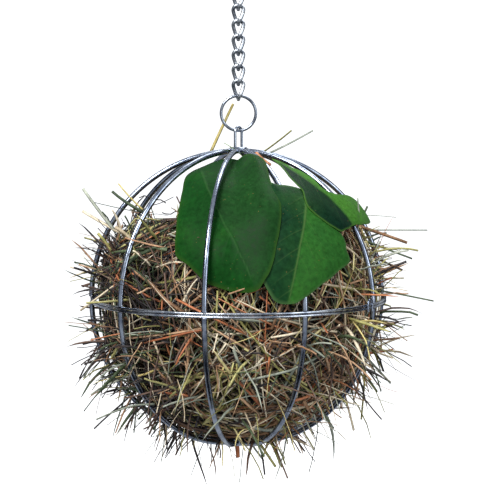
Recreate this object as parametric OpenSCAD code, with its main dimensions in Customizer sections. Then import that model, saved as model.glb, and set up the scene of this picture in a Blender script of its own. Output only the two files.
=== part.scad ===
// Hanging hay ball: a hinged wire cage on a short chain with a snap hook,
// filled with hay and a few green leaves.
// Millimetres, +Z up. The origin is the point inside the snap hook's top bow that rests on
// the bar it hangs from. An azimuth is counted from the front (-Y) towards the right (+X).

/* [Cage] */
// Outer diameter of the ball, over its ribs
ball_d = 160; // [150:1:170]
// Wire diameter of the ribs
rib_d = 2.8; // [2.2:0.1:3]
// Wire diameter of the two rims at the equator
rim_d = 1.4; // [1.2:0.1:2.2]
// Diameter of the round boss at each pole
crown_d = 10; // [9.5:0.1:12]
// Azimuth of the first rib
first_rib = -12; // [-18:1:18]

/* [Hinge and catch] */
// Wire diameter of the two hinge clips
clip_d = 1.2; // [1:0.1:1.4]
// Azimuth of the hinge between the halves
hinge_azimuth = -120; // [-125:1:-115]
// Azimuth of the catch loop
catch_azimuth = 55.5; // [50:0.5:56]

/* [Eye and ring] */
// Wire diameter of the hanging eye on the top boss
eye_d = 1.5; // [1.2:0.1:1.6]
// Half of the distance between the eye's two legs
eye_r = 2.5; // [2.5:0.1:3]
// Length of the eye's legs below its arch
eye_leg = 8.1; // [6:0.1:12]
// Outer diameter of the hanging ring
ring_od = 20.1; // [19:0.1:24]
// Wire diameter of the hanging ring
ring_d = 1.6; // [1.4:0.1:1.7]

/* [Chain] */
// Distance from one link to the next
link_pitch = 7.9; // [7.6:0.1:9]
// Half of a link's width, at the middle of its wire
link_w = 3; // [2.9:0.1:3.2]
// Wire diameter of a link
link_d = 2; // [1.6:0.1:2.1]

/* [Snap hook] */
// Wire diameter of the hook
hook_d = 3; // [2.8:0.1:3.2]
// Free height inside the hook
hook_inside = 26; // [25:0.5:30]
// Free width inside the hook's bows
hook_mouth = 8; // [7.6:0.1:9]

/* [Contents] */
// Radius of the packed hay
hay_r = 71.5; // [68:0.5:71.5]
// Height of the middle of the hay's top above the equator
hay_top = 45; // [30:1:50]

/* [Hidden] */
$fn = 72;
rib_count = 10;
link_count = 8;
weld_gap = 0.02;
slack = 0.1; // free play where one wire hangs on another
rib_step = 360 / rib_count;

// The cage, with heights counted from the middle of the ball
ball_r = ball_d / 2;
rib_r = ball_r - rib_d / 2;
rim_gap = 0.14;
rim_z = (rim_d + rim_gap) / 2;
rim_top = rim_z + rim_d / 2;
rib_start = asin((rim_top + weld_gap) / rib_r);
rib_end = acos((crown_d / 2 + weld_gap) / rib_r);
crown_low = rib_r - rib_d / 2;
crown_rise = 0.6;
crown_top = ball_r + crown_rise;

// The hinge clips stand beside the hinge rib, and the catch loop stands outside both rims
clip_step = 4.2;
clip_in = rim_d / 2 + 0.5;
clip_top = rim_top + 0.05 - clip_in;
catch_d = 1.2;
catch_w = 2.2;
catch_play = 0.3;
catch_u = rib_r + rim_d / 2 + catch_play + catch_d / 2;
catch_rise = 1.6;

// Each hanging piece rests on the wire below it, from the eye up to the hook
arch_z = crown_top + eye_leg;
// The eye stands at 45 degrees to the ring, so it needs more play than the links
eye_play = 0.2;
ring_r = (ring_od - ring_d) / 2;
ring_z = arch_z + eye_r - (eye_d + ring_d) / 2 - slack - eye_play + ring_r;
link_h = (link_pitch + link_d + slack) / 2;
bow_z = link_h - link_w;
last_link_z = ring_z + ring_r - (ring_d + link_d) / 2 - slack + link_h;
first_link_z = last_link_z + (link_count - 1) * link_pitch;
hook_low = first_link_z + link_h - (hook_d + link_d) / 2 - slack;
ball_z = -hook_inside - hook_d / 2 - hook_low;

// The snap hook, with heights counted from the origin
hook_r = (hook_mouth + hook_d) / 2;
hook_bow_top = -hook_mouth / 2;
hook_bow_low = -hook_inside + hook_mouth / 2;
nose_z = hook_bow_top - 4;
pivot_z = hook_bow_low + 1.5;
flat_w = 2.3;
gate_in = 2.8;
gate_w = 4.2;
gate_wall = 0.6;
gate_back = 1.75;
gate_front = 1.6;
gate_top = hook_bow_top - 1;
gate_foot = pivot_z - 1.7;
rivet_d = 1.2;
rivet_play = 0.05;

// Contents: thin leaves inside and outside the ribs, and stray stalks between ribs
dome_r = 150;
leaf_t = 0.9;
stalk_d = 1.2;
stalk_foot = hay_r + 0.9;
stalk_lean = 16;
upper_stalk_azimuths = [-66, 114, 150];
upper_stalk_heights = [12, 27, 42];
lower_stalk_azimuths = [-66, -30, 42, 114, 150];
lower_stalk_heights = [-14, -32, -52, -72];

function numbered(stem, count) = [for (i = [1:count]) str(stem, i)];
function rib_azimuth(i) = first_rib + (i - 1) * rib_step;
function link_z(i) = first_link_z - (i - 1) * link_pitch;
function stalk_reach(azimuth) = azimuth > 0 ? 114 : 104;

// ---- Helpers ----

// Turns local +X outwards at an azimuth
module at_azimuth(a) rotate([0, 0, a - 90]) children();

// Puts a piece that is drawn about the middle of the ball in its place
module in_ball() translate([0, 0, ball_z]) children();

// Part of a wire ring in the XY plane
module wire_arc(r, d, from, span)
    rotate_extrude(angle = span, start = from) translate([r, 0]) circle(d = d);

module wire_ring(r, d) rotate_extrude() translate([r, 0]) circle(d = d);

// The same arc standing in the XZ plane, its angles counted up from +X
module upright_arc(r, d, from, span) rotate([90, 0, 0]) wire_arc(r, d, from, span);

// A straight wire standing between two heights
module post(x, low, high, d) translate([x, 0, low]) cylinder(d = d, h = high - low);

// ---- Snap hook, drawn in the XZ plane with its gate at -X, then turned ----

module in_hook() rotate([0, 0, 90]) children();

// Cuts the wire's two ends flat, so that they fit inside the gate
module flats(low, high)
    for (side = [-1, 1])
        translate([-hook_r, side * (flat_w + hook_d) / 2, (low + high) / 2])
            cube([hook_d + 1, hook_d, high - low], center = true);

module hook_body() color("lightslategray") in_hook() difference() {
    union() {
        translate([0, 0, hook_bow_top]) upright_arc(hook_r, hook_d, 0, 180);
        translate([0, 0, hook_bow_low]) upright_arc(hook_r, hook_d, 180, 180);
        post(hook_r, hook_bow_low, hook_bow_top, hook_d);
        post(-hook_r, nose_z, hook_bow_top, hook_d);
        post(-hook_r, hook_bow_low, pivot_z + hook_d / 2, hook_d);
    }
    flats(nose_z - 1, hook_bow_top - 0.5);
    flats(gate_foot - 0.4, pivot_z + hook_d);
    translate([-hook_r, 0, pivot_z]) rotate([90, 0, 0])
        cylinder(d = rivet_d + rivet_play, h = hook_d + 1, center = true);
}

// A sheet channel, open outwards, that straddles both flat ends of the wire
module hook_gate() color("silver") in_hook() difference() {
    translate([-hook_r - gate_front, -gate_w / 2, gate_foot])
        cube([gate_front + gate_back + gate_wall, gate_w, gate_top - gate_foot]);
    translate([-hook_r - gate_front - 1, -gate_in / 2, gate_foot - 1])
        cube([gate_front + gate_back + 1, gate_in, gate_top - gate_foot + 2]);
    // The sheet behind the rivet is left out, so that it doesn't meet the bow as the gate opens
    translate([-hook_r - gate_front - 1, -gate_in / 2, gate_foot - 1])
        cube([gate_front + gate_back + 3, gate_in, pivot_z + 0.5 - gate_foot + 1]);
    translate([-hook_r, 0, pivot_z]) rotate([90, 0, 0])
        cylinder(d = rivet_d + 2 * rivet_play, h = gate_w + 1, center = true);
}

module gate_rivet() color("gainsboro") in_hook() translate([-hook_r, 0, pivot_z]) rotate([90, 0, 0]) {
    cylinder(d = rivet_d, h = gate_w + 0.4, center = true);
    for (side = [-1, 1]) translate([0, 0, side * (gate_w / 2 + 0.4)])
        cylinder(d = 2.2, h = 0.4, center = true);
}

// A leaf spring that lies in the gate's channel
module gate_spring() color("dimgray") in_hook()
    translate([-hook_r + gate_back - 0.4, -1, pivot_z + 2.6]) cube([0.3, 2, 7]);

// ---- Chain: twisted links, each with its top bow along X and its bottom bow along Y ----

bow_step = 20;
leg_rings = 5;
wire_sides = 10;
bow_angles = [for (a = [0:bow_step:180]) a];
leg_shares = [for (k = [1:leg_rings - 1]) k / leg_rings];

// Points of the untwisted link as [x, z, outward x, outward z]
link_outline = concat(
    [for (a = bow_angles) [link_w * cos(a), bow_z + link_w * sin(a), cos(a), sin(a)]],
    [for (s = leg_shares) [-link_w, bow_z * (1 - 2 * s), -1, 0]],
    [for (a = bow_angles) [-link_w * cos(a), -bow_z - link_w * sin(a), -cos(a), -sin(a)]],
    [for (s = leg_shares) [link_w, bow_z * (2 * s - 1), 1, 0]]
);
function link_twist(z) = -90 * (link_h - z) / (2 * link_h);
function twisted(x, z, turn) = [x * cos(turn), x * sin(turn), z];
link_path = [for (p = link_outline) twisted(p[0], p[1], link_twist(p[1]))];
link_outward = [for (p = link_outline) twisted(p[2], p[3], link_twist(p[1]))];
function unit(v) = v / norm(v);

// One ring of the wire's skin around point i of a closed path
function skin_ring(path, outward, i, r) =
    let (
        n = len(path),
        along = unit(path[(i + 1) % n] - path[(i + n - 1) % n]),
        side = unit(cross(along, outward[i])),
        up = cross(side, along)
    )
    [for (k = [0:wire_sides - 1]) let (a = 360 * k / wire_sides) path[i] + r * (cos(a) * up + sin(a) * side)];

function skin_faces(rings) = [
    for (i = [0:rings - 1], k = [0:wire_sides - 1])
        let (j = (i + 1) % rings, m = (k + 1) % wire_sides)
        [i * wire_sides + k, j * wire_sides + k, j * wire_sides + m, i * wire_sides + m]
];

module chain_link(i) color("lightslategray") in_ball() translate([0, 0, link_z(i)])
    polyhedron(
        points = [for (n = [0:len(link_path) - 1]) each skin_ring(link_path, link_outward, n, link_d / 2)],
        faces = skin_faces(len(link_path)),
        convexity = 6
    );

// ---- Ring and eye ----

module hanging_ring() color("slategray") in_ball() translate([0, 0, ring_z])
    rotate([90, 0, 0]) wire_ring(ring_r, ring_d);

module hanging_eye() color("slategray") in_ball() rotate([0, 0, 45]) {
    translate([0, 0, arch_z]) upright_arc(eye_r, eye_d, 0, 180);
    for (side = [-1, 1]) post(side * eye_r, crown_top + weld_gap, arch_z, eye_d);
}

// ---- Cage ----

module crown() {
    translate([0, 0, crown_low]) cylinder(d = crown_d, h = ball_r - crown_low);
    translate([0, 0, ball_r]) cylinder(d1 = crown_d, d2 = crown_d - 2 * crown_rise, h = crown_rise);
}

module rib(i) at_azimuth(rib_azimuth(i)) upright_arc(rib_r, rib_d, rib_start, rib_end - rib_start);

module rim() translate([0, 0, rim_z]) wire_ring(rib_r, rim_d);

module top_crown() color("silver") in_ball() crown();
module upper_rim() color("lightslategray") in_ball() rim();
module upper_rib(i) color("lightslategray") in_ball() rib(i);
module bottom_crown() color("silver") in_ball() mirror([0, 0, 1]) crown();
module lower_rim() color("slategray") in_ball() mirror([0, 0, 1]) rim();
module lower_rib(i) color("slategray") in_ball() mirror([0, 0, 1]) rib(i);

// A closed loop of wire around both rims
module hinge_clip(side) color("gainsboro") in_ball() at_azimuth(hinge_azimuth + side * clip_step)
    translate([rib_r, 0, 0]) {
        translate([0, 0, clip_top]) upright_arc(clip_in + clip_d / 2, clip_d, 0, 180);
        translate([0, 0, -rim_z]) upright_arc(clip_in + clip_d / 2, clip_d, 180, 180);
        for (leg = [-1, 1]) post(leg * (clip_in + clip_d / 2), -rim_z, clip_top, clip_d);
    }

// A sprung wire loop on the lower rim that stands up outside the upper rim
module catch_loop() color("gainsboro") in_ball() at_azimuth(catch_azimuth) {
    translate([catch_u, 0, catch_rise]) rotate([0, 0, 90]) upright_arc(catch_w, catch_d, 0, 180);
    for (side = [-1, 1]) translate([catch_u, side * catch_w, 0]) {
        post(0, -rim_z - catch_d, catch_rise, catch_d);
        translate([0, 0, -rim_z]) rotate([0, -90, 0]) cylinder(d = 1, h = catch_u - rib_r - rim_d / 2 - 0.04);
    }
}

// ---- Contents ----

// Packed hay with a low domed top
module hay_fill() color("darkkhaki") in_ball() intersection() {
    sphere(r = hay_r);
    translate([0, 0, hay_top - dome_r]) sphere(r = dome_r);
}

// A thin curved leaf that follows the ball. Its outline is the overlap of two
// circles, and turn swings its tip away from straight up.
module leaf(inner_r, azimuth, height, turn, long, wide) {
    side_r = (long * long + wide * wide) / (4 * wide);
    intersection() {
        difference() {
            sphere(r = inner_r + leaf_t);
            sphere(r = inner_r);
        }
        at_azimuth(azimuth) rotate([0, 90 - height, 0]) rotate([0, 0, turn]) intersection_for(side = [-1, 1])
            translate([0, side * (side_r - wide / 2), 0]) cylinder(r = side_r, h = ball_r);
    }
}

module leaf_1() color("darkgreen") in_ball() leaf(74.6, -5, 42, 0, 96, 60);
module leaf_2() color("green") in_ball() leaf(80.35, 34, 25, 8, 64, 54);
module leaf_3() color("olivedrab") in_ball() leaf(76, 62, 50, 45, 60, 22);

// A straight stalk that leaves the hay between two ribs, leaning to one side
module stalk(azimuth, height, lean) at_azimuth(azimuth) rotate([0, -height, 0])
    translate([stalk_foot, 0, 0]) rotate([0, 90, lean])
        cylinder(d = stalk_d, h = stalk_reach(azimuth) - stalk_foot);

module stalks(azimuths, heights)
    for (a = [0:len(azimuths) - 1], h = [0:len(heights) - 1])
        stalk(azimuths[a], heights[h], h % 2 == 0 ? stalk_lean : -stalk_lean);

module stray_stalks_upper() color("khaki") in_ball() stalks(upper_stalk_azimuths, upper_stalk_heights);
module stray_stalks_lower() color("khaki") in_ball() stalks(lower_stalk_azimuths, lower_stalk_heights);

// ---- Nodes ----

hook_body();
hook_gate();
gate_rivet();
gate_spring();
for (i = [1:link_count]) chain_link(i);
hanging_ring();
hanging_eye();
top_crown();
upper_rim();
for (i = [1:rib_count]) upper_rib(i);
hinge_clip(-1);  // hinge_clip_1
hinge_clip(1);  // hinge_clip_2
leaf_1();
leaf_2();
leaf_3();
stray_stalks_upper();
lower_rim();
bottom_crown();
catch_loop();
for (i = [1:rib_count]) lower_rib(i);
hay_fill();
stray_stalks_lower();
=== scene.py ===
import math

import bpy
import bmesh
import numpy as np
from mathutils import Matrix, Vector


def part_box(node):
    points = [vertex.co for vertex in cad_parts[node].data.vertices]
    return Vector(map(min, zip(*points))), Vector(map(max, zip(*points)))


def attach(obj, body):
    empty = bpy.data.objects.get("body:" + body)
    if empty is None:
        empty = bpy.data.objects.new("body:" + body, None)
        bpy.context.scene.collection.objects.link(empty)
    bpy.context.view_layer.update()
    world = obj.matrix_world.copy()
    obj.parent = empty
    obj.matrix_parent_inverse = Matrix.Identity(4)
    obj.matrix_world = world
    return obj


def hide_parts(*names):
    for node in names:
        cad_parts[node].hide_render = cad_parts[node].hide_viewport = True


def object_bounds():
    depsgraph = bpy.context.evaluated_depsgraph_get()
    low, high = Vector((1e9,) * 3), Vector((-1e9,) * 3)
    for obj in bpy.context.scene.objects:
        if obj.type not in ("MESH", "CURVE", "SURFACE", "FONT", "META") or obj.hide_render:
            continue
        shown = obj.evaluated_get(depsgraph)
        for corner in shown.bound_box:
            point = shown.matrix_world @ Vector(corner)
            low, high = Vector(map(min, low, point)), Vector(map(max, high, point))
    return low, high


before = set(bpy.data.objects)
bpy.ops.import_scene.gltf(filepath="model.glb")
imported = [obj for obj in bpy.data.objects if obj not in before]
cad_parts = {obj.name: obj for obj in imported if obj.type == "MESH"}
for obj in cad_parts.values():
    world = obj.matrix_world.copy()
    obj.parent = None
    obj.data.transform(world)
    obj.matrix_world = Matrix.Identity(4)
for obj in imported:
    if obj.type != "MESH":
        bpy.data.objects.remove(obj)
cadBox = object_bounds()
mm = 0.001
rng = np.random.default_rng(41)
fullTurn = 6.3  # Radians, for random starts of waves

# The ball's centre lies half way between its two rims
rimLow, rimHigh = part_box("lower_rim")[0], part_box("upper_rim")[1]
ballCentre = np.array([(rimLow[i] + rimHigh[i]) / 2 for i in range(3)])
ballWire = dict(radius=78.6 * mm, firstRib=-12, ribStep=36, hinge=-120)

# The camera stands in front of the ball and a little above it
cameraSet = dict(distance=0.64, elevation=6.6, pitchUp=2.27, turnRight=0.556, lens=85.3)


def makeCamera():
    data = bpy.data.cameras.new("camera")
    data.lens = cameraSet["lens"]
    data.sensor_width = 36
    camera = bpy.data.objects.new("camera", data)
    bpy.context.scene.collection.objects.link(camera)
    tilt = math.radians(cameraSet["elevation"])
    away = Vector((0, -math.cos(tilt), math.sin(tilt))) * cameraSet["distance"]
    camera.location = Vector(ballCentre) + away
    camera.rotation_euler = (
        math.radians(90 - cameraSet["elevation"] + cameraSet["pitchUp"]),
        0,
        -math.radians(cameraSet["turnRight"]),
    )
    bpy.context.scene.camera = camera


makeCamera()
print("camera placed")


def meshObject(name, points, faces, attributes=None):
    # faces is a list of integer arrays, each of one face size
    mesh = bpy.data.meshes.new(name)
    mesh.vertices.add(len(points))
    mesh.vertices.foreach_set("co", np.asarray(points, np.float32).ravel())
    corners = np.concatenate([f.ravel() for f in faces]).astype(np.int32)
    sizes = np.concatenate([np.full(len(f), f.shape[1], np.int32) for f in faces])
    starts = np.concatenate([[0], np.cumsum(sizes)[:-1]]).astype(np.int32)
    mesh.loops.add(len(corners))
    mesh.loops.foreach_set("vertex_index", corners)
    mesh.polygons.add(len(sizes))
    mesh.polygons.foreach_set("loop_start", starts)
    mesh.polygons.foreach_set("use_smooth", np.ones(len(sizes), bool))
    for key, values in (attributes or {}).items():
        made = mesh.attributes.new(key, "FLOAT", "POINT")
        made.data.foreach_set("value", np.asarray(values, np.float32))
    mesh.update(calc_edges=True)
    mesh.validate()
    made = bpy.data.objects.new(name, mesh)
    bpy.context.scene.collection.objects.link(made)
    return made


def unit(v):
    v = np.asarray(v, float)
    return v / np.maximum(np.linalg.norm(v, axis=-1, keepdims=True), 1e-12)


def onBall(azimuth, elevation, radius):
    # Azimuth 0 is the front, and it grows towards +X. The result is relative to the ball's centre
    a, e = np.radians(azimuth), np.radians(elevation)
    flat = np.cos(e) * radius
    return np.stack([np.sin(a) * flat, -np.cos(a) * flat, np.sin(e) * radius], -1)


waveForm = dict(perOctave=4, shrink=1.9, fade=1.7, weight=0.55)


def waves(points, seed, scale, octaves):
    # Smooth noise from a few sine waves, about -1 to 1
    local = np.random.default_rng(seed)
    total, weight = 0, 0
    for o in range(octaves):
        for _ in range(waveForm["perOctave"]):
            k = unit(local.normal(size=3)) * 2 * math.pi / (scale / waveForm["shrink"] ** o)
            total = total + np.sin(points @ k + local.uniform(0, fullTurn)) / waveForm["fade"] ** o
            weight += waveForm["weight"] / waveForm["fade"] ** o
    return total / weight



def newMaterial(name):
    material = bpy.data.materials.new(name)
    material.use_nodes = True
    nodes, links = material.node_tree.nodes, material.node_tree.links
    return material, nodes, links, nodes["Principled BSDF"]


def noiseNode(nodes, links, scale, detail=4, roughness=0.6, stretch=(1, 1, 1)):
    place = nodes.new("ShaderNodeTexCoord")
    mapping = nodes.new("ShaderNodeMapping")
    mapping.inputs["Scale"].default_value = stretch
    noise = nodes.new("ShaderNodeTexNoise")
    noise.inputs["Scale"].default_value = scale
    noise.inputs["Detail"].default_value = detail
    noise.inputs["Roughness"].default_value = roughness
    links.new(place.outputs["Object"], mapping.inputs["Vector"])
    links.new(mapping.outputs["Vector"], noise.inputs["Vector"])
    return noise.outputs["Fac"]


def rampNode(nodes, links, value, stops):
    ramp = nodes.new("ShaderNodeValToRGB")
    while len(ramp.color_ramp.elements) < len(stops):
        ramp.color_ramp.elements.new(0.5)
    for element, (place, colour) in zip(ramp.color_ramp.elements, stops):
        element.position = place
        element.color = (*colour, 1)
    links.new(value, ramp.inputs["Fac"])
    return ramp.outputs["Color"]


def mixNode(nodes, links, factor, a, b):
    mix = nodes.new("ShaderNodeMix")
    mix.data_type = "RGBA"
    if isinstance(factor, (int, float)):
        mix.inputs["Factor"].default_value = factor
    else:
        links.new(factor, mix.inputs["Factor"])
    for socket, value in ((6, a), (7, b)):  # The two colour inputs
        if isinstance(value, tuple):
            mix.inputs[socket].default_value = (*value, 1)
        else:
            links.new(value, mix.inputs[socket])
    return mix.outputs[2]  # The colour output


def rangeNode(nodes, links, value, low, high, fromLow=0.0, fromHigh=1.0):
    spread = nodes.new("ShaderNodeMapRange")
    spread.inputs["From Min"].default_value = fromLow
    spread.inputs["From Max"].default_value = fromHigh
    spread.inputs["To Min"].default_value = low
    spread.inputs["To Max"].default_value = high
    links.new(value, spread.inputs["Value"])
    return spread.outputs["Result"]


def bumpNode(nodes, links, height, shader, strength, distance):
    bump = nodes.new("ShaderNodeBump")
    bump.inputs["Strength"].default_value = strength
    bump.inputs["Distance"].default_value = distance
    links.new(height, bump.inputs["Height"])
    links.new(bump.outputs["Normal"], shader.inputs["Normal"])


def attributeNode(nodes, name):
    node = nodes.new("ShaderNodeAttribute")
    node.attribute_name = name
    return node.outputs["Fac"]


# Tones and roughness of each kind of plated wire
chromeFinish = dict(
    cageWire=dict(bright=(0.36, 0.41, 0.50), dull=(0.15, 0.18, 0.25), gloss=(0.12, 0.30)),
    # The rims get lighter tones than the cage wire: a painted highlight along the rims
    rimWireHighlit=dict(bright=(0.56, 0.60, 0.66), dull=(0.20, 0.23, 0.29), gloss=(0.14, 0.32)),
    ringWire=dict(bright=(0.34, 0.38, 0.44), dull=(0.12, 0.14, 0.18), gloss=(0.10, 0.26)),
    chainWire=dict(bright=(0.50, 0.53, 0.57), dull=(0.27, 0.30, 0.35), gloss=(0.24, 0.42)),
    gateSheet=dict(bright=(0.46, 0.48, 0.51), dull=(0.30, 0.31, 0.34), gloss=(0.24, 0.38)),
    weldBead=dict(bright=(0.40, 0.43, 0.48), dull=(0.10, 0.10, 0.11), gloss=(0.20, 0.45)),
)
chromeGrain = dict(
    cloud=(160, 5, 0.62), dullAt=0.36, brightAt=0.62,
    scuff=(900, 4, 0.7, (1, 1, 0.25)), scuffRange=(0.3, 0.75), bump=(0.16, 0.00012),
)


def makeChrome(name):
    finish = chromeFinish[name]
    material, nodes, links, shader = newMaterial(name)
    shader.inputs["Metallic"].default_value = 1
    cloud = noiseNode(nodes, links, *chromeGrain["cloud"])
    stops = [(chromeGrain["dullAt"], finish["dull"]), (chromeGrain["brightAt"], finish["bright"])]
    colour = rampNode(nodes, links, cloud, stops)
    links.new(colour, shader.inputs["Base Color"])
    scuff = noiseNode(nodes, links, *chromeGrain["scuff"])
    gloss = rangeNode(nodes, links, scuff, *finish["gloss"], *chromeGrain["scuffRange"])
    links.new(gloss, shader.inputs["Roughness"])
    bumpNode(nodes, links, scuff, shader, *chromeGrain["bump"])
    return material


chrome = {name: makeChrome(name) for name in chromeFinish}


def paint(made, *materials):
    made.data.materials.clear()
    for material in materials:
        made.data.materials.append(material)


platedNodes = dict(
    gateSheet=("hook_gate",), ringWire=("hanging_ring", "hanging_eye"),
    rimWireHighlit=("upper_rim", "lower_rim"), chainWire=("hook_body", "gate_rivet", "gate_spring"),
)
for name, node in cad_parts.items():
    finish = next((key for key, names in platedNodes.items() if name in names), "cageWire")
    paint(node, chrome[finish])
print("wire plated")

# Each link of the chain is a long loop of wire with a quarter turn of twist
linkShape = dict(
    count=8, wire=1.0 * mm, halfWidth=3.0 * mm, bowHeight=2.0 * mm,
    topZ=-29.9 * mm, pitch=7.9 * mm, twist=-90, steps=112, sides=18,
    buttAt=0.09, buttSpread=1.8, buttSwell=0.05,
)


def sweepLoop(centres, radii, sides):
    # A closed round wire along a closed line, with the frame's leftover turn spread evenly
    n = len(centres)
    tangents = unit(np.roll(centres, -1, 0) - np.roll(centres, 1, 0))
    normal = unit(np.cross(tangents[0], [0.3, 0.2, 0.9]))  # Any direction across the wire will do
    normals = [normal]
    for i in range(1, n + 1):
        t = tangents[i % n]
        normal = unit(normal - (normal @ t) * t)
        normals.append(normal)
    side = np.cross(tangents[0], normals[0])
    left = math.atan2(normals[n] @ side, normals[n] @ normals[0])
    points = []
    for i in range(n):
        a = np.cross(tangents[i], normals[i])
        around = np.arange(sides) / sides * 2 * math.pi - left * i / n
        ring = np.outer(np.cos(around), normals[i]) + np.outer(np.sin(around), a)
        points.append(centres[i] + ring * radii[i])
    index = np.arange(n * sides).reshape(n, sides)
    nextRing = np.roll(index, -1, 0)
    quads = np.stack(
        [index, np.roll(index, -1, 1), np.roll(nextRing, -1, 1), nextRing], -1
    ).reshape(-1, 4)
    return np.concatenate(points), quads


def linkLine(shape, n):
    w, h = shape["halfWidth"], shape["bowHeight"]
    straight, bow = 2 * h, math.pi * w
    whole = 2 * straight + 2 * bow
    line = []
    for s in np.arange(n) / n * whole:
        if s < straight:
            line.append((w, 0, -h + s))
        elif s < straight + bow:
            a = (s - straight) / w
            line.append((w * math.cos(a), 0, h + w * math.sin(a)))
        elif s < 2 * straight + bow:
            line.append((-w, 0, h - (s - straight - bow)))
        else:
            a = (s - 2 * straight - bow) / w
            line.append((-w * math.cos(a), 0, -h - w * math.sin(a)))
    line = np.array(line)
    turn = np.radians(shape["twist"] * ((w + h) - line[:, 2]) / (2 * (w + h)))
    return np.stack(
        [line[:, 0] * np.cos(turn), line[:, 0] * np.sin(turn), line[:, 2]], -1
    )


def makeLinks(shape):
    line = linkLine(shape, shape["steps"])
    spot = np.arange(shape["steps"])
    # The butt joint of each link bulges a little, half way up one leg
    joint = np.exp(-(((spot - shape["steps"] * shape["buttAt"]) / shape["buttSpread"]) ** 2))
    radii = shape["wire"] * (1 + shape["buttSwell"] * joint)
    for i in range(1, shape["count"] + 1):
        centre = np.array([0, 0, shape["topZ"] - (i - 1) * shape["pitch"]])
        points, quads = sweepLoop(line + centre, radii, shape["sides"])
        made = meshObject(f"twisted_link_{i}", points, [quads])
        paint(made, chrome["chainWire"])
        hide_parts(f"chain_link_{i}")
        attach(made, f"link_{i}")


makeLinks(linkShape)
print("chain linked")

# Weld beads lie where the ribs meet the rims and the bosses
weldShape = dict(
    size=(1.8 * mm, 1.0 * mm, 0.9 * mm), crownSize=(2.2 * mm, 1.25 * mm, 1.0 * mm),
    rimElevation=1.15, sink=0.1, crownElevation=86.0, crownRise=0.5 * mm,
    detail=2, lump=0.16, lumpScale=1.6, lumpOctaves=2, seed=300, crownSeed=340, ribs=10,
)


def beadPoints(centre, along, outward, size, seed):
    across = unit(np.cross(outward, along))
    shell = bmesh.new()
    bmesh.ops.create_icosphere(shell, subdivisions=weldShape["detail"], radius=1)
    base = np.array([v.co for v in shell.verts])
    faces = np.array([[v.index for v in f.verts] for f in shell.faces])
    shell.free()
    rough = waves(base, seed, weldShape["lumpScale"], weldShape["lumpOctaves"])
    lump = 1 + weldShape["lump"] * rough
    base = base * lump[:, None]
    points = centre + (
        np.outer(base[:, 0] * size[0], along)
        + np.outer(base[:, 1] * size[1], across)
        + np.outer(base[:, 2] * size[2], outward)
    )
    return points, faces


def makeWelds(name, body, side):
    allPoints, allFaces, count = [], [], 0

    def add(made):
        nonlocal count
        allPoints.append(made[0])
        allFaces.append(made[1] + count)
        count += len(made[0])

    for i in range(weldShape["ribs"]):
        azimuth = ballWire["firstRib"] + i * ballWire["ribStep"]
        outward = onBall(azimuth, 0, 1.0)
        along = np.array([math.cos(math.radians(azimuth)), math.sin(math.radians(azimuth)), 0])
        place = ballCentre + onBall(azimuth, side * weldShape["rimElevation"], ballWire["radius"])
        place = place - outward * weldShape["sink"] * mm
        add(beadPoints(place, along, outward, weldShape["size"], weldShape["seed"] + i))
        crownRadius = ballWire["radius"] + weldShape["crownRise"]
        place = ballCentre + onBall(azimuth, side * weldShape["crownElevation"], crownRadius)
        up = np.array([0, 0, float(side)])
        add(beadPoints(place, outward, up, weldShape["crownSize"], weldShape["crownSeed"] + i))
    made = meshObject(name, np.concatenate(allPoints), [np.concatenate(allFaces)])
    paint(made, chrome["weldBead"])
    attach(made, body)


makeWelds("upper_welds", "upper_half", 1)
makeWelds("lower_welds", "lower_half", -1)
print("welds laid")

# Tones of dried grass; ink is near-black grass, used mostly as painted shade
grassTints = dict(
    ink=dict(dark=(0.008, 0.007, 0.009), mid=(0.022, 0.018, 0.020), pale=(0.055, 0.042, 0.040)),
    umber=dict(dark=(0.030, 0.016, 0.014), mid=(0.090, 0.050, 0.036), pale=(0.19, 0.12, 0.085)),
    brown=dict(dark=(0.11, 0.055, 0.030), mid=(0.36, 0.20, 0.105), pale=(0.62, 0.42, 0.26)),
    olive=dict(dark=(0.08, 0.085, 0.024), mid=(0.30, 0.28, 0.09), pale=(0.58, 0.54, 0.24)),
    sage=dict(dark=(0.09, 0.11, 0.085), mid=(0.27, 0.30, 0.24), pale=(0.52, 0.54, 0.45)),
    deep=dict(dark=(0.012, 0.022, 0.014), mid=(0.045, 0.070, 0.035), pale=(0.12, 0.16, 0.08)),
    straw=dict(dark=(0.30, 0.23, 0.06), mid=(0.62, 0.52, 0.20), pale=(0.85, 0.76, 0.42)),
    beige=dict(dark=(0.30, 0.23, 0.15), mid=(0.62, 0.52, 0.36), pale=(0.86, 0.78, 0.62)),
    cream=dict(dark=(0.52, 0.46, 0.34), mid=(0.78, 0.71, 0.55), pale=(0.92, 0.88, 0.76)),
    green=dict(dark=(0.05, 0.10, 0.03), mid=(0.16, 0.26, 0.07), pale=(0.36, 0.46, 0.16)),
    rust=dict(dark=(0.18, 0.05, 0.020), mid=(0.46, 0.15, 0.060), pale=(0.68, 0.33, 0.17)),
)
grassGrain = dict(
    cloud=(260, 4, 0.6), cloudStops=(0.32, 0.5, 0.72), cloudShare=0.42,
    streak=(1500, 3, 0.6, (1, 1, 0.2)), vein=(0.72, 1.18, 0.3, 0.7), tip=(0.0, 0.45, 0.82, 1.0),
    roughness=(0.42, 0.72), specular=0.35, bump=(0.35, 0.0002),
)


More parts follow.
